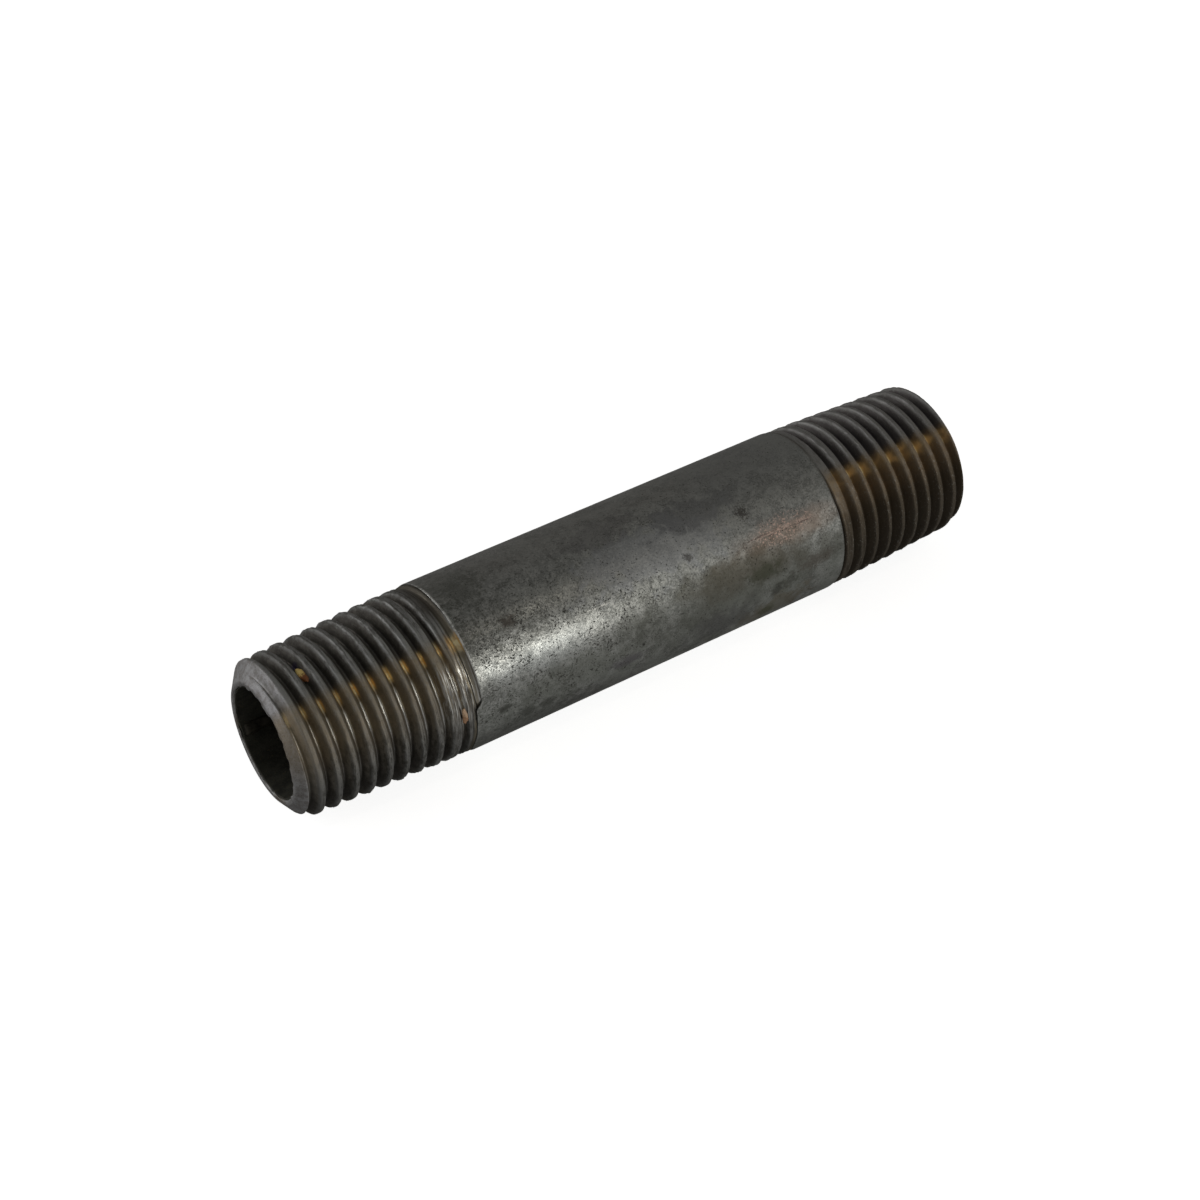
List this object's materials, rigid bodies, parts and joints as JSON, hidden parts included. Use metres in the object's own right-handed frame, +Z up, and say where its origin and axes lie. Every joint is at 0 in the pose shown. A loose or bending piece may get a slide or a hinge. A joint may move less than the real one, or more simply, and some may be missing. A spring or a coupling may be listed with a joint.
{
  "type": "threaded pipe nipple",
  "caption": "Galvanised steel pipe nipple: a short length of welded pipe with a tapered male thread cut on each end and a plain zinc-coated barrel between.",
  "frame": {"origin": "on the pipe's axis, halfway between the two end faces", "axes": "+X along the pipe from end A to end B; +Z up as the nipple lies on a table; +Y completes the right-handed frame"},
  "size_m": [0.0636, 0.0138, 0.0138],
  "materials": {
    "threaded_steel": "bare steel threads with a thin brown film of cutting oil, semi-gloss",
    "weathered_zinc": "dull hot-dip zinc, pitted and stained",
    "bore_zinc": "rough dark zinc",
    "weld_metal": "rough weld metal"
  },
  "bodies": {
    "root": {"steel_pipe": "threaded_steel", "outer_zinc_coat": "weathered_zinc", "bore_zinc_coat": "bore_zinc", "weld_bead": "weld_metal"}
  },
  "joints": []
}
